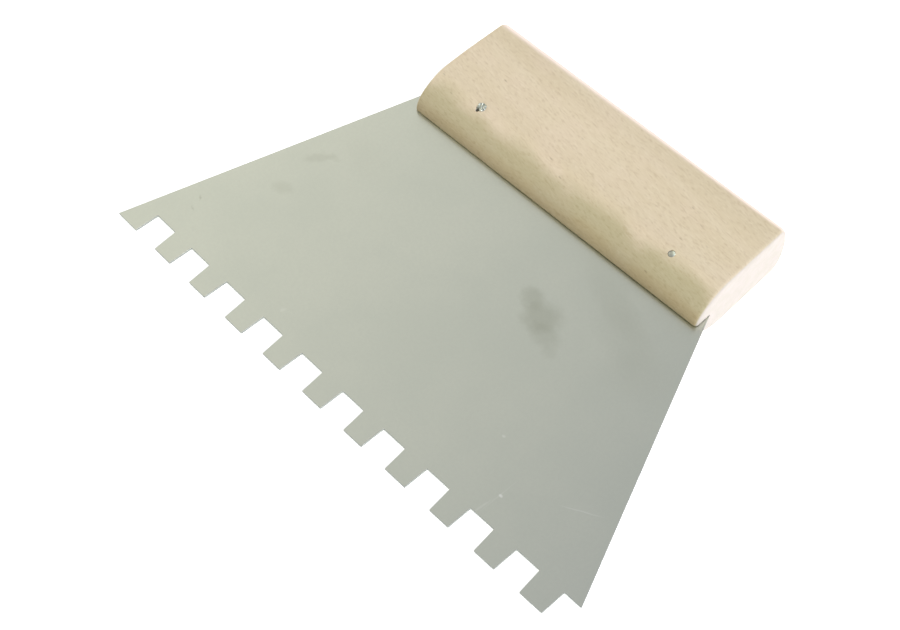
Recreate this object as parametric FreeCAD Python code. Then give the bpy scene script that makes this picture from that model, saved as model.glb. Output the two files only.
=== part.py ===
"""Notched trowel for spreading adhesive: a thin steel blade set in a saw slot in a one-piece beech
handle and held there by two cross pins.

All sizes are in millimetres. X runs along the toothed edge, Y from the teeth towards the back of the
handle, and Z up out of the handle's top face. The origin is the middle of the handle's underside, so
the underside lies in the plane Z = 0 and the blade's mid-plane is half the handle's thickness above.
"""

import os
import FreeCAD, Part
from math import hypot, sqrt

# ---- handle: one straight moulding with flat ends
handle_length = 110.0
handle_depth = 40.0
handle_thickness = 19.6
nose_length = 13.0           # how far back the rounded nose reaches before the faces are flat
nose_tip_radius = 7.7        # the tighter curve at the very front, on the mid-plane
back_radius = 17.0           # the back bulges outwards on this radius
back_axis_height = 8.3       # height of that curve's axis, a little below the mid-plane
lower_back_round = 5.0       # easing between the back and the underside
end_round = 1.2              # sanded edge all round each end

# ---- blade: a flat plate, wide at the teeth and narrow at the handle
blade_thickness = 0.7
blade_reach = 87.0           # from the outermost tooth tips to the handle's nose
edge_left = 87.7             # half-widths at the tooth tips, from the handle's middle
edge_right = 89.3
nose_left = 59.5             # half-widths where the blade enters the handle
nose_right = 57.1
tang_depth = 20.0            # how deep the blade goes into the handle

# ---- teeth: near-square notches on a regular pitch
notch_count = 10             # whole notches; one more runs out through the right side
notch_pitch = 16.0
notch_depth = 7.6
notch_mouth = 8.9            # width at the tooth tips
notch_root = 8.1             # width at the bottom
middle_notch_x = 5.2         # where the sixth notch from the left is centred
edge_crown = 1.0             # the toothed edge bulges outwards in the middle by this much
crown_half_span = 88.0

# ---- cross pins
pin_radius = 1.0
pin_left_x = -36.4
pin_right_x = 37.6
pin_setback = 8.6            # behind the nose
peened_radius = 1.45
peened_height = 0.45         # how far the peened head stands above the shaft's end
peen_sink = 0.35             # how far it beds into the wood

# ---- places that follow from the sizes above
nose_y = -handle_depth / 2
back_y = handle_depth / 2
mid_z = handle_thickness / 2
tip_y = nose_y - blade_reach
tang_y = nose_y + tang_depth
pin_y = nose_y + pin_setback
blade_low_z = mid_z - blade_thickness / 2
first_notch_x = middle_notch_x - notch_count // 2 * notch_pitch

# The nose is two tangent curves on each face: the tip's, then a larger shoulder that ends flat.
shoulder_radius = (
    (nose_length ** 2 + mid_z ** 2 - 2 * nose_length * nose_tip_radius)
    / (2 * (mid_z - nose_tip_radius))
)


def point(x, y, z):
    return FreeCAD.Vector(x, y, z)


def line(a, b):
    return Part.LineSegment(a, b).toShape()


def arc(a, middle, b):
    return Part.Arc(a, middle, b).toShape()


def nose_half(x, side):
    """The nose's tip and shoulder curves in the plane at x, on the top (side 1) or below (side -1)."""
    tip_axis_y = nose_y + nose_tip_radius
    flat_y = nose_y + nose_length
    shoulder_drop = shoulder_radius - mid_z
    run = flat_y - tip_axis_y
    reach = hypot(run, shoulder_drop)
    # Unit direction from the shoulder's axis through the tip's axis, where the curves meet.
    out_y, out_z = -run / reach, shoulder_drop / reach
    # The half-way directions of the two arcs.
    tip_y_half, tip_z_half = (out_y - 1) / 2, out_z / 2
    tip_scale = nose_tip_radius / hypot(tip_y_half, tip_z_half)
    shoulder_y_half, shoulder_z_half = out_y / 2, (out_z + 1) / 2
    shoulder_scale = shoulder_radius / hypot(shoulder_y_half, shoulder_z_half)

    def at(y, rise):
        return point(x, y, mid_z + side * rise)

    front = at(nose_y, 0)
    meet = at(tip_axis_y + nose_tip_radius * out_y, nose_tip_radius * out_z)
    flat = at(flat_y, mid_z)
    on_tip = at(tip_axis_y + tip_scale * tip_y_half, tip_scale * tip_z_half)
    on_shoulder = at(
        flat_y + shoulder_scale * shoulder_y_half,
        shoulder_scale * shoulder_z_half - shoulder_drop,
    )
    return [arc(front, on_tip, meet), arc(meet, on_shoulder, flat)], flat


def handle_section(x):
    """The handle's outline in the plane at x: rounded nose, flat faces, bulging back."""
    top_nose, top_front = nose_half(x, 1)
    low_nose, low_front = nose_half(x, -1)
    back_axis_y = back_y - back_radius
    top_back_y = back_axis_y + sqrt(back_radius ** 2 - (handle_thickness - back_axis_height) ** 2)
    top_back = point(x, top_back_y, handle_thickness)
    rearmost = point(x, back_y, back_axis_height)
    # The lower easing rolls inside the back curve and on the underside.
    inner = back_radius - lower_back_round
    rise = lower_back_round - back_axis_height
    round_y = back_axis_y + sqrt(inner ** 2 - rise ** 2)
    meet = point(
        x,
        back_axis_y + (round_y - back_axis_y) * back_radius / inner,
        back_axis_height + rise * back_radius / inner,
    )
    half = lower_back_round / sqrt(2)
    easing = point(x, round_y + half, lower_back_round - half)
    low_back = point(x, round_y, 0)
    edges = top_nose + low_nose + [
        line(low_front, low_back),
        arc(low_back, easing, meet),
        arc(meet, rearmost, top_back),
        line(top_back, top_front),
    ]
    return Part.Wire(Part.__sortEdges__(edges))


def edge_y(x):
    """The Y of the toothed edge at x, with its slight outward crown."""
    return tip_y - edge_crown * (1 - (x / crown_half_span) ** 2)


def left_side(y):
    """The point on the blade's left side at y."""
    return point(-edge_left + (edge_left - nose_left) * (y - tip_y) / blade_reach, y, blade_low_z)


def right_side(y):
    """The point on the blade's right side at y."""
    return point(edge_right - (edge_right - nose_right) * (y - tip_y) / blade_reach, y, blade_low_z)


def notch_outline(centre_x):
    """The corners of one notch, from its left tip to its right tip."""
    places = [
        (centre_x - notch_mouth / 2, 0),
        (centre_x - notch_root / 2, notch_depth),
        (centre_x + notch_root / 2, notch_depth),
        (centre_x + notch_mouth / 2, 0),
    ]
    return [point(x, edge_y(x) + rise, blade_low_z) for x, rise in places]


def blade_outline():
    """The blade's corners, round from the tang's left corner."""
    corners = [left_side(tang_y), left_side(tip_y)]
    for i in range(notch_count):
        corners += notch_outline(first_notch_x + i * notch_pitch)
    # The last notch runs out through the right side, so no tooth closes it.
    last_tip, last_root = notch_outline(first_notch_x + notch_count * notch_pitch)[:2]
    return corners + [last_tip, last_root, right_side(last_root.y), right_side(tang_y)]


def pin_half_length():
    """Half of a pin's length: the nose's half-height where the pins go through."""
    before_flat = nose_length - pin_setback
    return sqrt(shoulder_radius ** 2 - before_flat ** 2) - shoulder_radius + mid_z


def pin_shaft(x):
    """A cross pin's shaft, from the top of the nose to its underside."""
    half = pin_half_length()
    return Part.makeCylinder(pin_radius, 2 * half, point(x, pin_y, mid_z - half))


def peened_head(x):
    """A low dome spread over the top of a pin and bedded a little into the wood."""
    shaft_top = mid_z + pin_half_length()
    base = shaft_top - peen_sink
    apex = shaft_top + peened_height
    rise = apex - base
    foot = point(x, pin_y, base)
    rim = point(x + peened_radius, pin_y, base)
    crown = point(x, pin_y, apex)
    # The dome is the part of a sphere that has this rim and this height.
    ball = (peened_radius ** 2 + rise ** 2) / (2 * rise)
    side = peened_radius / 2
    shoulder = point(x + side, pin_y, apex - ball + sqrt(ball ** 2 - side ** 2))
    profile = Part.Face(Part.Wire([arc(rim, shoulder, crown), line(crown, foot), line(foot, rim)]))
    return profile.revolve(foot, point(0, 0, 1), 360)


def make_blade():
    outline = blade_outline()
    plate = Part.Face(Part.makePolygon(outline + outline[:1])).extrude(point(0, 0, blade_thickness))
    return plate.cut([pin_shaft(pin_left_x), pin_shaft(pin_right_x)])


def make_pin_left():
    """The left pin, whose upper end is peened over."""
    return pin_shaft(pin_left_x).fuse(peened_head(pin_left_x))


def make_pin_right():
    """The right pin, cut off flush at both ends."""
    return pin_shaft(pin_right_x)


def make_handle(blade, pins):
    """The moulding with its end edges eased, slotted for the blade's tang and drilled for the pins."""
    block = Part.Face(handle_section(-handle_length / 2)).extrude(point(handle_length, 0, 0))
    end_faces = [f for f in block.Faces if abs(abs(f.CenterOfMass.x) - handle_length / 2) < 1e-6]
    end_edges = [e for f in end_faces for e in f.Edges]
    return block.makeFillet(end_round, end_edges).cut([blade] + pins)


def write_part(name, shape):
    solids = shape.Solids
    print(name, "solids", len(solids), "valid", shape.isValid(), "volume", round(shape.Volume, 1))
    Part.makeCompound(solids).exportStep(os.path.join("parts", name + ".step"))


os.makedirs("parts", exist_ok=True)
blade = make_blade()
pin_left = make_pin_left()
pin_right = make_pin_right()
write_part("blade", blade)
write_part("pin_left", pin_left)
write_part("pin_right", pin_right)
write_part("handle", make_handle(blade, [pin_left, pin_right]))
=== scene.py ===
import bpy
import math
from mathutils import Matrix, Vector, geometry, noise


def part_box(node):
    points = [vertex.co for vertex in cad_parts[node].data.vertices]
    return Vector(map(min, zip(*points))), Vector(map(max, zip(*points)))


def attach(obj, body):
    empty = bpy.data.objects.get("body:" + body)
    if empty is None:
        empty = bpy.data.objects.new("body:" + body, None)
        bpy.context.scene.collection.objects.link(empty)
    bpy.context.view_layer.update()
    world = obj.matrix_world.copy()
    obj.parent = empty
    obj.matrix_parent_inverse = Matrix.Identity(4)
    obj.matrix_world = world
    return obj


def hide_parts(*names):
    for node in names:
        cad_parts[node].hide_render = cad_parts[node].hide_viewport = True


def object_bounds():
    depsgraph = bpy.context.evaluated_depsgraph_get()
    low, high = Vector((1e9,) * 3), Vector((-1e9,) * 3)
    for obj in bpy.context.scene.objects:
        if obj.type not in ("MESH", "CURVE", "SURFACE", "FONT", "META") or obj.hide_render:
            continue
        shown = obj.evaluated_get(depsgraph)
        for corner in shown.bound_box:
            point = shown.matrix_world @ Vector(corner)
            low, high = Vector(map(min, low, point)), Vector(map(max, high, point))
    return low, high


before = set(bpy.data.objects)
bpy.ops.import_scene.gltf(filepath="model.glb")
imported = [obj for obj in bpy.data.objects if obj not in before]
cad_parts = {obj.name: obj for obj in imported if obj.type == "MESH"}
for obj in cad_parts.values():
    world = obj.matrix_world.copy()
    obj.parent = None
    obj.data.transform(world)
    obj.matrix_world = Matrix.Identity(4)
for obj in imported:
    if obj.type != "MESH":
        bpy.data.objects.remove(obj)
cad_low, cad_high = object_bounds()

MM = 0.001
handle_low, handle_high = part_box("handle")
blade_low, blade_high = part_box("blade")

# ---- handle section (the CAD box gives its length, depth and thickness)
NOSE_LENGTH = 13.0 * MM
NOSE_TIP_RADIUS = 7.7 * MM
BACK_RADIUS = 24.0 * MM
BACK_AXIS_HEIGHT = 8.3 * MM
LOWER_BACK_ROUND = 5.0 * MM
UPPER_BACK_ROUND_LEFT = 3.8 * MM
UPPER_BACK_ROUND_RIGHT = 2.7 * MM
END_ROUND_LEFT = 0.7 * MM
END_ROUND_RIGHT = 1.2 * MM
END_BOW = 0.28 * MM
END_BOW_Y = 0.0 * MM
END_BOW_SPAN = 13.0 * MM
END_BOW_SHARE = 0.03  # of the handle's length, over which the bow dies away
END_GRID = 2.4 * MM  # spacing of the points inside an end face
NOSE_SWELL = 0.35 * MM
BACK_SWELL_LEFT = 0.85 * MM
BACK_SWELL_RIGHT = -0.85 * MM
MID_Z = (handle_low.z + handle_high.z) / 2
HALF_THICKNESS = (handle_high.z - handle_low.z) / 2

# ---- slot in the handle's nose
BLADE_THICKNESS = blade_high.z - blade_low.z
SLOT_CLEARANCE_LEFT = 0.10 * MM
SLOT_CLEARANCE_RIGHT = 0.30 * MM
SLOT_LIP = 0.28 * MM
TANG_DEPTH = 20.0 * MM
SLOT_SPARE = 0.2 * MM  # the slot is this much deeper than the tang
SLOT_LEAST = 1.5 * MM

# ---- blade outline
BLADE_REACH = 87.0 * MM
EDGE_LEFT = 87.7 * MM
EDGE_RIGHT = 89.3 * MM
NOSE_LEFT = 59.5 * MM
NOSE_RIGHT = 57.1 * MM
NOTCH_COUNT = 10  # whole ones; the blade's right side cuts through one more
NOTCH_PITCH = 16.0 * MM
NOTCH_DEPTH = 7.6 * MM
NOTCH_MOUTH = 8.9 * MM
NOTCH_ROOT = 8.1 * MM
MIDDLE_NOTCH_X = 5.2 * MM
EDGE_CROWN = 1.0 * MM
CROWN_HALF_SPAN = 88.0 * MM
EDGE_SKEW = 0.0028
EDGE_SHORT = 0.1 * MM
BLADE_EASE = 0.07 * MM
BLADE_CORNER = 0.22 * MM
BLADE_GRID = 4.0 * MM
WAVINESS = 0.1 * MM
WAVE_FADE = 20 * MM  # how far in front of the handle the sheet is held flat
WAVES_PER_METRE = 18
SLIVER = 2e-7  # the least height, in metres, of a triangle that is kept

# How far the punch wandered at each notch, and how much wider or narrower it cut, in mm.
NOTCH_DRIFT = (0.0, -0.2, -0.35, -0.2, 0.0, 0.4, 0.2, 0.5, 0.1, -0.25, -0.1)
NOTCH_SPREAD = (0.0, 0.0, 0.1, 0.1, 0.25, 0.05, 0.0, 0.0, 0.0, -0.4, 0.0)

# ---- pins
PIN_RADIUS = 1.0 * MM
PIN_SETBACK = 8.6 * MM
WOOD_CLEARANCE = 0.04 * MM
STEEL_CLEARANCE = 0.05 * MM
FLUSH_SUNK = 0.08 * MM
BURR_RISE = 0.42 * MM
BURR_AND_HIGHLIGHT_SIDE = (0.76, 0.65)  # the direction, from the right pin's axis, of its burr and of its painted highlight

# ---- the left pin: how far its head, the seat under it and the pit stand off its axis
HEAD_X = 0.24 * MM
HEAD_Y = 0.28 * MM
SEAT_X = 0.3 * MM
SEAT_Y = 0.4 * MM
SEAT_RADIUS = 1.4 * MM
SEAT_DEPTH = 0.45 * MM
PIT_X = -0.06 * MM
PIT_Y = -0.97 * MM
PIT_RADIUS = 0.58 * MM
PIT_DEPTH = 2.6 * MM

# ---- faces that turn by less than this many degrees are shaded as one
SMOOTH = 35
BLADE_SMOOTH = 20
PIN_SMOOTH = 40
HEAD_SMOOTH = 28

# ---- camera and lights
CAMERA_PLACE = Vector((155.7, -197.9, 331.3)) * MM
CAMERA_AZIMUTH = math.radians(45.38)
CAMERA_ELEVATION = math.radians(57.06)
CAMERA_ROLL = math.radians(-0.59)
LENS = 55.63
SHIFT_X = -0.0436
SHIFT_Y = -0.0227
FLOOR_REACH = 4.0
FLOOR_GAP = 0.15 * MM
DIM_SIDE = (0.14, 0.17, 0.28, 1)
BRIGHT_SIDE = (1.40, 1.36, 1.20, 1)

TIP_Y = handle_low.y - BLADE_REACH
TANG_Y = handle_low.y + TANG_DEPTH
PIN_Y = handle_low.y + PIN_SETBACK
PIN_XS = [(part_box(n)[0].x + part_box(n)[1].x) / 2 for n in ("pin_left", "pin_right")]
SHOULDER_RADIUS = (
    (NOSE_LENGTH ** 2 + HALF_THICKNESS ** 2 - 2 * NOSE_LENGTH * NOSE_TIP_RADIUS)
    / (2 * (HALF_THICKNESS - NOSE_TIP_RADIUS))
)
SIDE_SLOPE_LEFT = (EDGE_LEFT - NOSE_LEFT) / BLADE_REACH
SIDE_SLOPE_RIGHT = (EDGE_RIGHT - NOSE_RIGHT) / BLADE_REACH


# ------------------------------------------------------------------ mesh helpers

def make_object(name, vertices, faces, materials, smooth_angle=SMOOTH):
    """A mesh object whose faces are shaded smooth except across sharp edges."""
    mesh = bpy.data.meshes.new(name)
    mesh.from_pydata([tuple(v) for v in vertices], [], faces)
    mesh.validate()
    obj = bpy.data.objects.new(name, mesh)
    bpy.context.scene.collection.objects.link(obj)
    for material in materials:
        mesh.materials.append(material)
    shade(mesh, smooth_angle)
    return obj


def shade(mesh, smooth_angle):
    """Smooth shading, with a sharp edge where faces turn by more than the angle in degrees."""
    mesh.polygons.foreach_set("use_smooth", [True] * len(mesh.polygons))
    mesh.set_sharp_from_angle(angle=math.radians(smooth_angle))
    mesh.update()


def loft(rings, closed_ends=True):
    """Quads between rings of equal length, and one face closing each end if asked."""
    count = len(rings[0])
    vertices = [p for ring in rings for p in ring]
    faces = []
    for i in range(len(rings) - 1):
        a, b = i * count, (i + 1) * count
        for j in range(count):
            k = (j + 1) % count
            faces.append((a + j, a + k, b + k, b + j))
    if closed_ends:
        last = (len(rings) - 1) * count
        faces.append(tuple(range(count - 1, -1, -1)))
        faces.append(tuple(range(last, last + count)))
    return vertices, faces


def cut(obj, cutter):
    """Takes the cutter out of obj for good and deletes the cutter."""
    modifier = obj.modifiers.new("cut", "BOOLEAN")
    modifier.operation = "DIFFERENCE"
    modifier.solver = "EXACT"
    modifier.object = cutter
    bpy.context.view_layer.update()
    graph = bpy.context.evaluated_depsgraph_get()
    mesh = bpy.data.meshes.new_from_object(obj.evaluated_get(graph))
    obj.modifiers.remove(modifier)
    obj.data = mesh
    bpy.data.objects.remove(cutter)


# ------------------------------------------------------------------ handle

def arc(centre_y, centre_z, radius, start, end, count):
    """Points (y, z) along an arc, ends included; angles in radians from +Y towards +Z."""
    return [
        (centre_y + radius * math.cos(a), centre_z + radius * math.sin(a))
        for a in (start + (end - start) * i / count for i in range(count + 1))
    ]


def nose_top(inset, slot_half):
    """The section's upper front quarter, from the slot's lip to the flat top."""
    run = NOSE_LENGTH - NOSE_TIP_RADIUS
    drop = SHOULDER_RADIUS - HALF_THICKNESS
    meet = math.atan2(drop, -run)
    tip_radius = NOSE_TIP_RADIUS - inset
    tip_centre = handle_low.y + NOSE_TIP_RADIUS
    lip_angle = math.pi - math.asin((slot_half + SLOT_LIP) / tip_radius)
    lip_y = tip_centre + tip_radius * math.cos(lip_angle)
    lip = arc(lip_y + SLOT_LIP, slot_half + SLOT_LIP, SLOT_LIP, 1.5 * math.pi, math.pi, 3)
    tip = arc(tip_centre, 0, tip_radius, lip_angle, meet, 14)
    shoulder = arc(
        handle_low.y + NOSE_LENGTH, -drop, SHOULDER_RADIUS - inset, meet, math.pi / 2, 14
    )
    return lip[:-1] + tip[:-1] + shoulder


def swollen(y, along):
    """The section's Y at a station: raw wood has moved a little off the planed shape."""
    front = handle_low.y + NOSE_LENGTH
    if y < front:
        return y - NOSE_SWELL * (front - y) / NOSE_LENGTH
    back = BACK_SWELL_LEFT + (BACK_SWELL_RIGHT - BACK_SWELL_LEFT) * along
    return y + back * max(0.0, y / handle_high.y)


def handle_ring(x, inset, slot_depth):
    """One section of the handle at x, drawn in by inset, as points round it."""
    along = (x - handle_low.x) / (handle_high.x - handle_low.x)
    back_round = UPPER_BACK_ROUND_LEFT + (UPPER_BACK_ROUND_RIGHT - UPPER_BACK_ROUND_LEFT) * along
    clearance = SLOT_CLEARANCE_LEFT + (SLOT_CLEARANCE_RIGHT - SLOT_CLEARANCE_LEFT) * along
    slot_half = BLADE_THICKNESS / 2 + clearance
    upper = nose_top(inset, slot_half)
    lower = [(y, -z) for y, z in reversed(upper)]
    axis_y = handle_high.y - BACK_RADIUS
    axis_z = handle_low.z + BACK_AXIS_HEIGHT - MID_Z

    def corner(radius, z):
        """Centre and meeting angle of an easing between a flat face at z and the back curve."""
        centre_z = z - math.copysign(radius, z)
        reach = BACK_RADIUS - radius
        centre_y = axis_y + math.sqrt(reach ** 2 - (centre_z - axis_z) ** 2)
        return centre_y, centre_z, math.atan2(centre_z - axis_z, centre_y - axis_y)

    top_y, top_z, top_meet = corner(back_round, HALF_THICKNESS)
    low_y, low_z, low_meet = corner(LOWER_BACK_ROUND, -HALF_THICKNESS)
    back = (
        arc(top_y, top_z, back_round - inset, math.pi / 2, top_meet, 5)[:-1]
        + arc(axis_y, axis_z, BACK_RADIUS - inset, top_meet, low_meet, 16)[:-1]
        + arc(low_y, low_z, LOWER_BACK_ROUND - inset, low_meet, -math.pi / 2, 8)
    )

    def flat(a, b, count):
        return [tuple(p + (q - p) * i / count for p, q in zip(a, b)) for i in range(1, count)]

    slot_y = handle_low.y + slot_depth
    ring = upper + flat(upper[-1], back[0], 12) + back + flat(back[-1], lower[0], 12) + lower
    wall = flat(lower[-1], (slot_y, -slot_half), 4)
    ring += wall + [(slot_y, -slot_half), (slot_y, slot_half)]
    ring += [(y, -z) for y, z in reversed(wall)]
    return [Vector((bowed(x, y), swollen(y, along), z + MID_Z)) for y, z in ring]


def bowed(x, y):
    """A station's x at y: the left end was sanded slightly round."""
    along = (x - handle_low.x) / (handle_high.x - handle_low.x)
    bow = END_BOW * max(0.0, 1 - along / END_BOW_SHARE)
    return x - bow * max(0.0, 1 - ((y - END_BOW_Y) / END_BOW_SPAN) ** 2)


def end_face(ring, first, following, x, side):
    """Triangles closing an end, with points inside it; first is the ring's first vertex."""
    outline = [Vector((p.y, p.z)) for p in reversed(ring)]
    points, triangles = plate_faces(outline, [], END_GRID)
    count = len(ring)
    inner = [Vector((bowed(x, p.x), p.x, p.y)) for p in points[count:]]
    places = [first + count - 1 - i for i in range(count)]
    places += [following + i for i in range(len(inner))]
    faces = [tuple(places[i] for i in tri[::-side]) for tri in triangles]
    return inner, faces


def slot_depth_at(x):
    """How deep the blade's tang sits at x: it is cut off by the blade's slanted sides."""
    left = (x + NOSE_LEFT) / SIDE_SLOPE_LEFT
    right = (NOSE_RIGHT - x) / SIDE_SLOPE_RIGHT
    return max(min(TANG_DEPTH, left, right) + SLOT_SPARE, SLOT_LEAST)


def make_handle(material):
    """The moulding: sections along X, sanded ends and a slot in the nose; drill cuts its pin holes."""
    ease_steps = 6
    body_steps = 76

    def eased(end_x, radius, side):
        """Stations from the end's face inward: (x, how far the section is drawn in)."""
        turns = [math.pi / 2 * i / ease_steps for i in range(ease_steps + 1)]
        return [(end_x - side * radius * (1 - math.cos(t)), radius * (1 - math.sin(t))) for t in turns]

    left = eased(handle_low.x, END_ROUND_LEFT, -1)
    right = eased(handle_high.x, END_ROUND_RIGHT, 1)
    start, finish = left[-1][0], right[-1][0]
    body = [(start + (finish - start) * i / body_steps, 0.0) for i in range(1, body_steps)]
    stations = left + body + right[::-1]
    rings = [handle_ring(x, inset, slot_depth_at(x)) for x, inset in stations]
    vertices, faces = loft(rings, closed_ends=False)
    last = len(vertices) - len(rings[-1])
    for ring, first, x, side in (
        (rings[0], 0, handle_low.x, -1), (rings[-1], last, handle_high.x, 1),
    ):
        inner, closing = end_face(ring, first, len(vertices), x, side)
        vertices += inner
        faces += closing
    return make_object("handle_beech", vertices, faces, [material])


# ------------------------------------------------------------------ blade

def edge_y(x):
    """Y of the toothed edge, which is bowed and a little askew."""
    return TIP_Y + EDGE_SHORT - EDGE_SKEW * x - EDGE_CROWN * (1 - (x / CROWN_HALF_SPAN) ** 2)


def left_side(y):
    """The point of the blade's slanted left side at y."""
    return (-EDGE_LEFT + SIDE_SLOPE_LEFT * (y - TIP_Y), y)


def right_side(y):
    """The point of the blade's slanted right side at y."""
    return (EDGE_RIGHT - SIDE_SLOPE_RIGHT * (y - TIP_Y), y)


def notch_outline(index):
    """The four corners of a notch; index counts from the blade's left."""
    middle = MIDDLE_NOTCH_X + (index - NOTCH_COUNT // 2) * NOTCH_PITCH + NOTCH_DRIFT[index] * MM
    mouth = (NOTCH_MOUTH + NOTCH_SPREAD[index] * MM) / 2
    root = (NOTCH_ROOT + NOTCH_SPREAD[index] * MM) / 2
    places = [
        (middle - mouth, 0), (middle - root, NOTCH_DEPTH),
        (middle + root, NOTCH_DEPTH), (middle + mouth, 0),
    ]
    return [(x, edge_y(x) + rise) for x, rise in places]


def blade_outline():
    """The blade's corners, anticlockwise from the tang's left corner."""
    corners = [left_side(TANG_Y), left_side(edge_y(-EDGE_LEFT))]
    for i in range(NOTCH_COUNT):
        corners += notch_outline(i)
    last_tip, last_root = notch_outline(NOTCH_COUNT)[:2]
    return corners + [last_tip, last_root, right_side(last_root[1]), right_side(TANG_Y)]


def rounded(corners, radius, steps=3):
    """The outline with every corner rounded by a small arc."""
    out = []
    count = len(corners)
    for i, here in enumerate(corners):
        here = Vector(here)
        back = (Vector(corners[i - 1]) - here).normalized()
        on = (Vector(corners[(i + 1) % count]) - here).normalized()
        half = back.angle(on) / 2
        reach = radius / math.tan(half)
        centre = here + (back + on).normalized() * (radius / math.sin(half))
        start = here + back * reach - centre
        end = here + on * reach - centre
        sweep = start.angle_signed(end)
        for k in range(steps + 1):
            out.append(centre + Matrix.Rotation(-sweep * k / steps, 2) @ start)
    return out


def spaced(outline, spacing):
    """The outline with its long runs divided."""
    out = []
    for i, a in enumerate(outline):
        b = outline[(i + 1) % len(outline)]
        parts = max(1, round((b - a).length / spacing))
        out += [a.lerp(b, k / parts) for k in range(parts)]
    return out


def drawn_in(outline, amount):
    """The outline moved inwards by amount; it runs anticlockwise."""
    out = []
    count = len(outline)
    for i, here in enumerate(outline):
        a = (here - outline[i - 1]).normalized()
        b = (outline[(i + 1) % count] - here).normalized()
        inward = (Vector((-a.y, a.x)) + Vector((-b.y, b.x))).normalized()
        out.append(here + inward * amount / max(0.5, inward.dot(Vector((-a.y, a.x)))))
    return out


def inside(p, loop):
    """Whether the point is inside the closed loop."""
    odd = False
    for i, a in enumerate(loop):
        b = loop[i - 1]
        if (a.y > p.y) != (b.y > p.y) and p.x < (b.x - a.x) * (p.y - a.y) / (b.y - a.y) + a.x:
            odd = not odd
    return odd


def plate_faces(outline, holes, spacing):
    """Points and triangles that fill the outline, with a triangular grid of points inside it."""
    loops = [outline] + holes
    points, edges = [], []
    for loop in loops:
        start = len(points)
        points += loop
        edges += [(start + i, start + (i + 1) % len(loop)) for i in range(len(loop))]
    xs = [p.x for p in outline]
    ys = [p.y for p in outline]
    fence = drawn_in(outline, spacing * 0.4)
    row = 0
    y = min(ys)
    while y < max(ys):
        x = min(xs) + (row % 2) * spacing / 2
        while x < max(xs):
            p = Vector((x, y))
            clear = all((p - hole[0]).length > 3 * spacing / 2 for hole in holes)
            if clear and inside(p, fence) and inside(p, outline):
                points.append(p)
            x += spacing
        y += spacing * 0.866
        row += 1
    made = geometry.delaunay_2d_cdt(points, edges, [], 0, 1e-9)
    triangles = []
    for tri in made[2]:
        a, b, c = (made[0][i] for i in tri)
        middle = (a + b + c) / 3
        longest = max((b - a).length, (c - b).length, (a - c).length)
        # Rounding leaves slivers along straight edges, outside the outline.
        sliver = abs((b - a).cross(c - a)) < SLIVER * longest
        if not sliver and inside(middle, outline) and not any(inside(middle, hole) for hole in holes):
            triangles.append(tuple(tri))
    if len(made[0]) != len(points):
        raise ValueError("an outline crosses itself")
    return made[0], triangles


def sag(p):
    """The plate's slight waviness: thin rolled sheet is never quite flat."""
    free = min(1.0, max(0.0, (handle_low.y - p.y) / WAVE_FADE))
    wave = noise.noise(Vector((p.x * WAVES_PER_METRE, p.y * WAVES_PER_METRE, 3.7)))
    return WAVINESS * free * wave


def circle(x, y, radius, count):
    """Points round a circle, anticlockwise from +X."""
    return [
        Vector((x + radius * math.cos(a), y + radius * math.sin(a)))
        for a in (2 * math.pi * i / count for i in range(count))
    ]


def make_blade(faces_material, edge_material):
    """The plate, with eased edges all round, its teeth, its tang and two pin holes."""
    outline = spaced(rounded(blade_outline(), BLADE_CORNER), BLADE_GRID)
    holes = [list(reversed(circle(x, PIN_Y, PIN_RADIUS + STEEL_CLEARANCE, 24))) for x in PIN_XS]
    mid = (blade_low.z + blade_high.z) / 2
    half = BLADE_THICKNESS / 2
    points, triangles = plate_faces(drawn_in(outline, BLADE_EASE), holes, BLADE_GRID)
    count = len(points)
    rim = len(outline)
    vertices = [Vector((p.x, p.y, mid + half + sag(p))) for p in points]
    vertices += [Vector((p.x, p.y, mid - half + sag(p))) for p in points]
    vertices += [Vector((p.x, p.y, mid + half - BLADE_EASE + sag(p))) for p in outline]
    vertices += [Vector((p.x, p.y, mid - half + BLADE_EASE + sag(p))) for p in outline]
    faces = list(triangles) + [tuple(i + count for i in reversed(t)) for t in triangles]
    flats = len(faces)
    top, low, upper, under = 0, count, 2 * count, 2 * count + rim
    for i in range(rim):
        k = (i + 1) % rim
        faces.append((top + i, upper + i, upper + k, top + k))
        faces.append((upper + i, under + i, under + k, upper + k))
        faces.append((under + i, low + i, low + k, under + k))
    start = rim
    for hole in holes:
        size = len(hole)
        for i in range(size):
            k = (i + 1) % size
            faces.append((start + i, low + start + i, low + start + k, start + k))
        start += size
    blade = make_object("blade_plate", vertices, faces, [faces_material, edge_material], BLADE_SMOOTH)
    for polygon in blade.data.polygons[flats:]:
        polygon.material_index = 1
    return blade


# ------------------------------------------------------------------ pins

def nose_height(y, side=1):
    """Z of the handle's surface over the pins, above (1) or below (-1)."""
    before_flat = handle_low.y + NOSE_LENGTH - y
    rise = math.sqrt(SHOULDER_RADIUS ** 2 - before_flat ** 2) - SHOULDER_RADIUS + HALF_THICKNESS
    return MID_Z + side * rise


def pin_end(x, side, count, rings):
    """Rings of points that finish a pin, following the nose's slope. rings holds (radius, rise)."""
    out = []
    for radius, rise in rings:
        ring = []
        for p in circle(x, PIN_Y, radius, count):
            ring.append(Vector((p.x, p.y, nose_height(p.y, side) + side * rise)))
        out.append(ring)
    return out


# A flush pin end from its rim to its middle: radius, and rise above the wood.
FLUSH_END = [
    (PIN_RADIUS, -0.30 * MM),
    (PIN_RADIUS * 0.985, -0.16 * MM),
    (PIN_RADIUS * 0.90, -0.06 * MM),
    (PIN_RADIUS * 0.6, 0.02 * MM),
    (PIN_RADIUS * 0.25, 0.06 * MM),
]


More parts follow.
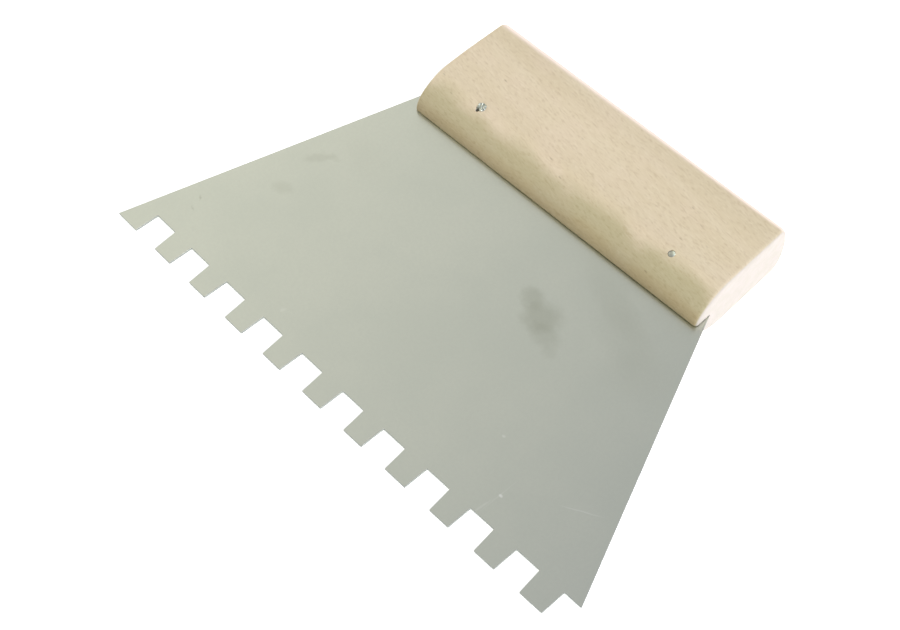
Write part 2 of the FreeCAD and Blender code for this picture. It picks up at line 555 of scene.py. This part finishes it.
def make_pin_right(material):
    """A wire pin cut and sanded flush with the wood."""
    count = 32
    low = pin_end(PIN_XS[1], -1, count, FLUSH_END)[::-1]
    high = pin_end(PIN_XS[1], 1, count, [(r, rise - FLUSH_SUNK) for r, rise in FLUSH_END])
    for ring in high:
        for p in ring:
            # The saw left a burr standing on the pin's back right side.
            across = ((p.x - PIN_XS[1]) * BURR_AND_HIGHLIGHT_SIDE[0] + (p.y - PIN_Y) * BURR_AND_HIGHLIGHT_SIDE[1]) / PIN_RADIUS
            p.z += BURR_RISE * max(0.0, across - 0.15) ** 1.5
    vertices, faces = loft(low + high)
    return make_object("pin_right_wire", vertices, faces, [material], PIN_SMOOTH)


# The hammered head from its underside to its middle: radius and rise above the wood, in mm.
HEAD_RINGS = [
    (1.10, -0.30), (1.32, -0.10), (1.40, 0.06), (1.34, 0.18), (1.15, 0.26),
    (0.92, 0.27), (0.70, 0.22), (0.48, 0.19), (0.28, 0.20), (0.12, 0.22),
]


def make_pin_left(material):
    """A wire pin whose upper end was hammered over into a rough, lopsided head."""
    count = 40
    x = PIN_XS[0]
    low = pin_end(x, -1, count, FLUSH_END)[::-1]
    shank = pin_end(x, 1, count, [(PIN_RADIUS, -1.6 * MM), (PIN_RADIUS, -0.5 * MM)])
    head = []
    for radius, rise in HEAD_RINGS:
        ring = []
        for p in circle(x, PIN_Y, radius * MM, count):
            turn = math.atan2(p.y - PIN_Y, p.x - x)
            # The blows spread the metal back and to the right and left the front short.
            short = 1 - 0.28 * max(0.0, math.cos(turn + 1.95)) ** 2 + 0.18 * max(0.0, math.cos(turn - 0.5))
            lump = noise.noise(Vector((p.x * 1700, p.y * 1700, 4.3)))
            crease = math.exp(-((radius - 0.8) / 0.2) ** 2) * max(0.0, math.cos(turn - 2.0))
            q = Vector((x + (p.x - x) * short + HEAD_X, PIN_Y + (p.y - PIN_Y) * short + HEAD_Y))
            level = nose_height(min(max(q.y, PIN_Y - 2 * MM), PIN_Y + 2 * MM))
            ring.append(Vector((q.x, q.y, level + (rise + 0.34 * lump - 0.30 * crease) * MM)))
        head.append(ring)
    vertices, faces = loft(low + shank + head)
    pin = make_object("pin_left_wire", vertices, faces, [material], HEAD_SMOOTH)
    cut(pin, pit_cutter())
    shade(pin.data, HEAD_SMOOTH)
    return pin


def cylinder(x, y, radius, z_low, z_high, count=36):
    """An upright cylinder to cut with."""
    rings = [[Vector((p.x, p.y, z)) for p in circle(x, y, radius, count)] for z in (z_low, z_high)]
    vertices, faces = loft(rings)
    return make_object("cutter", vertices, faces, [])


def pit_cutter():
    """The pit torn into wood and pin in front of the hammered head."""
    bottom = nose_height(PIN_Y) - PIT_DEPTH
    return cylinder(PIN_XS[0] + PIT_X, PIN_Y + PIT_Y, PIT_RADIUS, bottom, handle_high.z + MM)


def drill(handle):
    """Cuts the pin holes, the wider seat crushed under the hammered head, and the pit before it."""
    for x in PIN_XS:
        cut(handle, cylinder(x, PIN_Y, PIN_RADIUS + WOOD_CLEARANCE, handle_low.z - MM, handle_high.z + MM))
    bottom = nose_height(PIN_Y) - SEAT_DEPTH
    cut(handle, cylinder(PIN_XS[0] + SEAT_X, PIN_Y + SEAT_Y, SEAT_RADIUS, bottom, handle_high.z + MM))
    cut(handle, pit_cutter())
    shade(handle.data, SMOOTH)


# ------------------------------------------------------------------ materials

class Graph:
    """Adds and wires the nodes of one material or world."""

    def __init__(self, owner):
        self.owner = owner
        owner.use_nodes = True
        self.tree = owner.node_tree
        self.tree.nodes.clear()

    def add(self, kind, inputs=None, out=0, **settings):
        """A node; inputs maps a socket's name or number to a value or to another socket."""
        node = self.tree.nodes.new(kind)
        for key, value in settings.items():
            setattr(node, key, value)
        for key, value in (inputs or {}).items():
            if isinstance(value, bpy.types.NodeSocket):
                self.tree.links.new(value, node.inputs[key])
            else:
                node.inputs[key].default_value = value
        return node.outputs[out] if node.outputs else None

    def math(self, operation, a, b=0.0, clamp=False):
        return self.add("ShaderNodeMath", {0: a, 1: b}, operation=operation, use_clamp=clamp)

    def vector(self, operation, a, b=(0, 0, 0), out=0):
        return self.add("ShaderNodeVectorMath", {0: a, 1: b}, out, operation=operation)

    def noise(self, vector, scale, detail=2.0, roughness=0.5):
        inputs = {"Vector": vector, "Scale": scale, "Detail": detail, "Roughness": roughness}
        return self.add("ShaderNodeTexNoise", inputs)

    def step(self, value, low, high, to_low=0.0, to_high=1.0):
        """A smooth ramp of value from low..high to to_low..to_high."""
        inputs = {"Value": value, "From Min": low, "From Max": high, "To Min": to_low, "To Max": to_high}
        return self.add("ShaderNodeMapRange", inputs, interpolation_type="SMOOTHSTEP")

    def mix(self, factor, a, b, blend="MIX"):
        """Colour a where the factor is 0, b where it is 1. The node's colours are sockets 6, 7 and 2."""
        return self.add(
            "ShaderNodeMix", {0: factor, 6: a, 7: b}, 2, data_type="RGBA", blend_type=blend
        )

    def millimetres(self, turn=0.0):
        """Object coordinates in millimetres, turned about Z by an angle in degrees."""
        place = self.add("ShaderNodeTexCoord", out="Object")
        inputs = {"Vector": place, "Scale": (1000, 1000, 1000), "Rotation": (0, 0, math.radians(turn))}
        return self.add("ShaderNodeMapping", inputs)

    def stretched(self, vector, scale):
        """The vector with each component scaled, which stretches a pattern the other way."""
        return self.vector("MULTIPLY", vector, scale)

    def axis(self, vector, number):
        """One component of a vector: 0 is X, 1 is Y, 2 is Z."""
        return self.add("ShaderNodeSeparateXYZ", {0: vector}, number)

    def facing(self, number):
        """How far the surface faces along one of the object's axes, from -1 to 1."""
        return self.axis(self.add("ShaderNodeTexCoord", out="Normal"), number)

    def tinted(self, mask, colour, tint):
        """The colour times the tint, where the mask is 1."""
        return self.mix(mask, colour, self.mix(1.0, colour, (*tint, 1), "MULTIPLY"))

    def finish(self, inputs, bump=None, strength=1.0, distance=0.05 * MM):
        """Ends a material in one shader, with its bump, and returns it."""
        if bump is not None:
            height = {"Height": bump, "Strength": strength, "Distance": distance}
            inputs = {**inputs, "Normal": self.add("ShaderNodeBump", height)}
        shader = self.add("ShaderNodeBsdfPrincipled", inputs)
        self.add("ShaderNodeOutputMaterial", {"Surface": shader})
        return self.owner


def rgb(red, green, blue):
    """Linear colour from 0-255 display values."""
    def linear(v):
        v /= 255
        return v / 12.92 if v <= 0.04045 else ((v + 0.055) / 1.055) ** 2.4
    return (linear(red), linear(green), linear(blue), 1)


def beech():
    """Raw planed beech: cream, with short fine dark flecks a few degrees off the handle's length."""
    g = Graph(bpy.data.materials.new("beech"))
    place = g.millimetres(turn=9.5)
    flat_place = g.millimetres()
    bands = g.noise(g.stretched(place, (0.012, 0.22, 0.22)), 1.0, 3)
    mottle = g.noise(g.stretched(place, (0.06, 0.10, 0.10)), 1.0, 2)
    fibres = g.noise(g.stretched(place, (0.30, 3.4, 3.4)), 1.0, 3, 0.6)
    flecks = g.noise(g.stretched(place, (0.55, 1.7, 1.7)), 1.0, 3, 0.62)
    lights = g.noise(g.stretched(g.vector("ADD", place, (31, 17, 5)), (0.5, 1.9, 1.9)), 1.0, 2, 0.55)
    colour = g.mix(g.step(bands, 0.3, 0.7), rgb(225, 210, 181), rgb(221, 205, 174))
    colour = g.mix(g.step(mottle, 0.4, 0.75, 0.0, 0.6), colour, rgb(226, 208, 182))
    colour = g.mix(g.step(fibres, 0.35, 0.75, 0.0, 0.36), colour, rgb(204, 184, 150))
    colour = g.mix(g.step(lights, 0.5, 0.75, 0.0, 0.35), colour, rgb(234, 220, 195))
    colour = g.mix(g.step(flecks, 0.50, 0.28, 0.0, 0.40), colour, rgb(190, 167, 133))

    # The cores of stretched cells, of which only a share are filled: dark pores.
    cells = {"Vector": g.stretched(place, (0.16, 0.55, 0.55)), "Scale": 1.0, "Randomness": 1.0}
    near = g.add("ShaderNodeTexVoronoi", cells)
    pick = g.add("ShaderNodeSeparateColor", {0: g.add("ShaderNodeTexVoronoi", cells, "Color")})
    pores = g.math("MULTIPLY", g.step(near, 0.15, 0.05), g.step(pick, 0.80, 0.98))
    colour = g.mix(g.math("MULTIPLY", pores, 0.36), colour, rgb(120, 92, 66))

    # The wood darkens a little toward its right end and its back.
    to_right = g.step(g.axis(flat_place, 0), -25, 55, 0.0, 0.55)
    to_back = g.step(g.axis(flat_place, 1), 4, 16, 0.0, 0.6)
    colour = g.tinted(g.math("ADD", to_right, to_back, True), colour, (0.90, 0.905, 0.89))

    # Painted shade: where the nose turns away from the lights it is painted darker and yellower, and its
    # lip browner, while the shoulder above it gets a painted highlight. The upper back arris is painted
    # pale as a highlight, and the back below it is painted darker as shade.
    facing_y = g.facing(1)
    patches = g.math("MULTIPLY", g.math("SUBTRACT", mottle, 0.5), 0.5)
    # Masks by facing direction: a painted highlight on the shoulder, and painted shade on the nose and its
    # lip.
    shoulder = g.step(facing_y, -0.06, -0.26)
    nose_shade = g.step(g.math("ADD", facing_y, patches), -0.22, -0.57)
    lip = g.step(g.math("ADD", facing_y, patches), -0.62, -0.98)
    # Painted highlight: the upper back arris, where the rim light falls, is painted pale.
    arris_highlight = g.math("MULTIPLY", g.step(facing_y, 0.0, 0.5), g.step(facing_y, 0.97, 0.91))
    arris_highlight = g.math("MULTIPLY", arris_highlight, g.step(g.facing(2), -0.2, 0.1))
    # Painted shade: the back proper is painted darker to tone down the rim light.
    back = g.step(facing_y, 0.91, 0.97)
    # Painted highlight on the shoulder, then painted shade on the nose and its lip.
    colour = g.tinted(shoulder, colour, (1.035, 1.035, 1.02))
    colour = g.tinted(nose_shade, colour, (0.73, 0.75, 0.65))
    colour = g.tinted(lip, colour, (0.99, 0.925, 0.87))
    colour = g.mix(g.math("MULTIPLY", arris_highlight, 0.9), colour, rgb(243, 226, 215))
    colour = g.tinted(back, colour, (0.86, 0.85, 0.83))

    # End grain on the sawn ends: growth arcs and fine pores instead of flecks.
    end = g.step(g.math("ABSOLUTE", g.facing(0)), 0.55, 0.9)
    heart = g.vector("SUBTRACT", flat_place, (0, 30, -45))
    away = g.vector("LENGTH", g.stretched(heart, (0, 1, 1)), out="Value")
    wobble = g.noise(g.stretched(flat_place, (0.1, 0.12, 0.12)), 1.0, 2)
    rings = g.math("SINE", g.math("MULTIPLY", g.math("ADD", away, g.math("MULTIPLY", wobble, 4)), 2.4))
    pits = g.add("ShaderNodeTexVoronoi", {"Vector": flat_place, "Scale": 3.5})
    blotch = g.noise(g.stretched(flat_place, (1, 0.35, 0.35)), 1.0, 3, 0.6)
    ends = g.mix(g.step(rings, -1, 1, 0, 0.25), rgb(214, 205, 196), rgb(209, 197, 186))
    ends = g.mix(g.step(blotch, 0.3, 0.7), ends, rgb(208, 200, 187))
    ends = g.mix(g.step(pits, 0.28, 0.08, 0, 0.2), ends, rgb(160, 142, 122))
    colour = g.mix(end, colour, ends)

    grain = g.math("ADD", g.math("MULTIPLY", fibres, 0.5), g.math("MULTIPLY", flecks, 0.6))
    rough = g.step(fibres, 0.2, 0.9, 0.58, 0.74)
    return g.finish(
        {"Base Color": colour, "Roughness": rough, "Specular IOR Level": 0.25},
        grain, 0.35, 0.06 * MM,
    )


# Marks on the blade's upper face: centre x, y, half-length, half-width in mm, turn in degrees, depth.
STAINS = [
    (16.8, -44.2, 3.6, 2.8, -20, 1.05),
    (23.0, -47.0, 5.0, 4.2, 42, 1.25),
    (27.6, -50.6, 4.2, 3.0, 0, 0.8),
    (32.0, -53.6, 2.2, 1.6, 0, 0.4),
    (-62.0, -53.0, 4.0, 1.5, 50, 0.55),
    (-58.5, -50.0, 2.0, 1.2, 20, 0.35),
    (-61.0, -67.5, 3.0, 1.9, 20, 0.5),
    (34.0, -29.5, 13.0, 4.0, -20, 0.35),
    (44.0, -36.0, 12.0, 6.0, -25, 0.25),
    (54.0, -42.0, 9.0, 7.0, 30, 0.2),
    (-52.0, -43.0, 9.0, 5.0, -10, 0.12),
    (-75.0, -86.6, 0.8, 0.35, -35, 1.2),
    (-73.8, -90.6, 0.9, 0.3, -30, 0.7),
]
SCRATCHES = [
    (52.0, -92.0, 5.6, 0.14, 86, 0.45),
    (50.8, -98.0, 2.6, 0.25, 80, 0.6),
    (69.5, -81.3, 5.0, 0.18, 28, 0.75),
    (52.2, -92.4, 0.5, 0.4, 0, 2.2),
    (-29.0, -95.0, 0.8, 0.5, 70, 0.45),
    (41.0, -80.0, 0.5, 0.35, 20, 1.0),
]


def steel_face():
    """The satin rolled face, with faint blotches, oily smudges and a few scratches."""
    g = Graph(bpy.data.materials.new("blade_steel"))
    place = g.millimetres()
    blotch = g.noise(place, 0.045, 3)
    rolled = g.noise(g.stretched(place, (6.0, 0.35, 1.0)), 1.0, 3, 0.6)
    speckle = g.noise(place, 1.1, 3, 0.7)
    ragged = g.stretched(g.add("ShaderNodeTexNoise", {"Vector": place, "Scale": 0.5}, "Color"), (1, 1, 0))
    upper = g.step(g.facing(2), -0.5, 0.5)

    def marks(table, wander, soft):
        """All marks of a table together; wander roughens their outlines in mm, soft blurs them."""
        total = 0.0
        for x, y, length, width, turn, depth in table:
            shift = g.vector("MULTIPLY", g.vector("SUBTRACT", ragged, (0.5, 0.5, 0)), (wander,) * 3)
            from_centre = g.vector("SUBTRACT", g.vector("ADD", place, shift), (x, y, 0))
            inputs = {"Vector": from_centre, "Rotation": (0, 0, math.radians(-turn))}
            turned = g.add("ShaderNodeMapping", inputs)
            away = g.vector("LENGTH", g.stretched(turned, (1 / length, 1 / width, 0)), out="Value")
            mark = g.math("MULTIPLY", g.step(away, 1.0 + soft, 1.0 - soft), depth)
            total = g.math("ADD", mark, total)
        return g.math("MULTIPLY", total, upper)

    stain = marks(STAINS, 2.6, 0.55)
    scratch = marks(SCRATCHES, 0.5, 0.5)
    colour = g.mix(g.step(blotch, 0.3, 0.7), (0.655, 0.680, 0.600, 1), (0.625, 0.655, 0.580, 1))
    colour = g.mix(g.step(rolled, 0.2, 0.8, 0, 0.12), colour, (0.57, 0.60, 0.53, 1))
    colour = g.mix(g.step(speckle, 0.30, 0.70, 0, 0.22), colour, (0.58, 0.60, 0.54, 1))
    colour = g.mix(g.math("MULTIPLY", stain, 0.24), colour, (0.30, 0.31, 0.23, 1))
    colour = g.mix(g.math("MULTIPLY", scratch, 0.28, True), colour, (0.95, 0.96, 0.92, 1))
    rough = g.math("ADD", g.step(speckle, 0.3, 0.7, 0.28, 0.33), g.math("MULTIPLY", stain, 0.03))
    bump = g.math("ADD", g.math("MULTIPLY", rolled, 0.5), g.math("MULTIPLY", speckle, 0.3))
    return g.finish({"Base Color": colour, "Metallic": 1.0, "Roughness": rough}, bump, 0.12, 0.01 * MM)


def steel_edge():
    """Sheared edges: rougher and darker, with the cut's fine lines across the thickness."""
    g = Graph(bpy.data.materials.new("blade_edge"))
    place = g.millimetres()
    cut_lines = g.noise(g.stretched(place, (5.0, 5.0, 0.6)), 1.0, 2)
    colour = g.mix(cut_lines, (0.30, 0.31, 0.29, 1), (0.46, 0.48, 0.44, 1))
    return g.finish({"Base Color": colour, "Metallic": 0.85, "Roughness": 0.55}, cut_lines, 0.3, 0.02 * MM)


def pin_steel(name, base, dark, rough, centre=None):
    """Wire: dull grey with hammer and file marks, and, if a centre is given, a painted highlight along one
    side of a flush end.
    """
    g = Graph(bpy.data.materials.new(name))
    place = g.millimetres()
    marks = g.noise(place, 2.2, 4, 0.65)
    colour = g.mix(g.step(marks, 0.35, 0.65), base, dark)
    if centre:
        # Painted highlight: the flush end's side towards the burr is painted bright, as the lit burr would
        # look.
        across = g.vector("DOT_PRODUCT", g.vector("SUBTRACT", place, centre), (*BURR_AND_HIGHLIGHT_SIDE, 0), out="Value")
        colour = g.mix(g.step(across, 0.1, 0.7), colour, (0.80, 0.87, 0.75, 1))
    shine = g.step(marks, 0.3, 0.75, rough - 0.08, rough + 0.12)
    return g.finish({"Base Color": colour, "Metallic": 0.9, "Roughness": shine}, marks, 0.35, 0.06 * MM)


def floor_white():
    """A plain white studio sweep."""
    g = Graph(bpy.data.materials.new("floor_white"))
    faint = g.noise(g.millimetres(), 0.01, 1)
    colour = g.mix(faint, (0.93, 0.93, 0.93, 1), (0.95, 0.95, 0.95, 1))
    return g.finish({
        "Base Color": colour, "Roughness": 0.9, "Specular IOR Level": 0.1,
        "Emission Color": (1, 1, 1, 1), "Emission Strength": 0.6,
    })


# ------------------------------------------------------------------ stage, light and camera

def make_floor():
    """The surface the tool lies on: it touches the tooth tips and the front of the handle's underside."""
    touch_y = handle_low.y + NOSE_LENGTH
    run = touch_y - edge_y(0)
    slope = (blade_low.z - handle_low.z) / run

    def level(y):
        return handle_low.z - slope * (y - touch_y) - FLOOR_GAP

    corners = [(x * FLOOR_REACH, y * FLOOR_REACH) for x, y in ((-1, -1), (1, -1), (1, 1), (-1, 1))]
    floor = make_object(
        "floor", [Vector((x, y, level(y))) for x, y in corners], [(0, 1, 2, 3)], [floor_white()]
    )


def softbox(name, direction, distance, size, strength):
    """A square area light; strength 1 lights a facing white surface to full white."""
    centre = (cad_low + cad_high) / 2
    towards = Vector(direction).normalized()
    light = bpy.data.lights.new(name, "AREA")
    light.shape = "SQUARE"
    light.size = size
    light.energy = strength * math.pi ** 2 * distance ** 2
    obj = bpy.data.objects.new(name, light)
    obj.location = centre + towards * distance
    obj.rotation_euler = towards.to_track_quat("Z", "Y").to_euler()
    bpy.context.scene.collection.objects.link(obj)


def make_lights():
    """A studio that is bright to the tool's left and dim to its right, with two softboxes."""
    world = bpy.data.worlds.new("studio")
    g = Graph(world)
    towards = g.axis(g.add("ShaderNodeTexCoord", out="Generated"), 0)
    across = {"Value": towards, "From Min": -1.0, "From Max": 0.22, "To Min": 1.0, "To Max": 0.0}
    share = g.add("ShaderNodeMapRange", across)
    colour = g.mix(share, DIM_SIDE, BRIGHT_SIDE)
    sky = g.add("ShaderNodeBackground", {"Color": colour, "Strength": 1.0})
    g.add("ShaderNodeOutputWorld", {"Surface": sky})
    bpy.context.scene.world = world
    softbox("key", direction=(0.72, 0.04, 0.69), distance=2.4, size=0.9, strength=0.765)
    softbox("rim", direction=(0.20, 0.97, 0.12), distance=2.0, size=0.6, strength=0.32)


def make_camera():
    """The photograph's view: from in front, to the right and well above."""
    data = bpy.data.cameras.new("camera")
    data.sensor_width = 36
    data.lens = LENS
    data.shift_x = SHIFT_X
    data.shift_y = SHIFT_Y
    data.clip_start = 0.01
    data.clip_end = 20
    back = Vector((
        math.sin(CAMERA_AZIMUTH) * math.cos(CAMERA_ELEVATION),
        -math.cos(CAMERA_AZIMUTH) * math.cos(CAMERA_ELEVATION),
        math.sin(CAMERA_ELEVATION),
    ))
    camera = bpy.data.objects.new("camera", data)
    camera.location = CAMERA_PLACE
    turn = (-back).to_track_quat("-Z", "Y").to_matrix() @ Matrix.Rotation(CAMERA_ROLL, 3, "Z")
    camera.rotation_euler = turn.to_euler()
    bpy.context.scene.collection.objects.link(camera)
    bpy.context.scene.camera = camera


# ------------------------------------------------------------------ build

make_camera()
make_floor()
make_lights()
bpy.context.scene.view_settings.view_transform = "Standard"

handle = make_handle(beech())
drill(handle)
blade = make_blade(steel_face(), steel_edge())
pin_left = make_pin_left(pin_steel("pin_bright", (0.70, 0.72, 0.62, 1), (0.34, 0.37, 0.31, 1), 0.44))
pin_right = make_pin_right(pin_steel(
    "pin_dull", (0.52, 0.53, 0.44, 1), (0.42, 0.43, 0.36, 1), 0.46, centre=(PIN_XS[1] / MM, PIN_Y / MM, 0),
))

for piece, node, slot in (
    (handle, "handle", "beech"),
    (blade, "blade", "blade_steel"),
    (pin_left, "pin_left", "pin_steel"),
    (pin_right, "pin_right", "pin_steel"),
):
    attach(piece, "root")
    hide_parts(node)
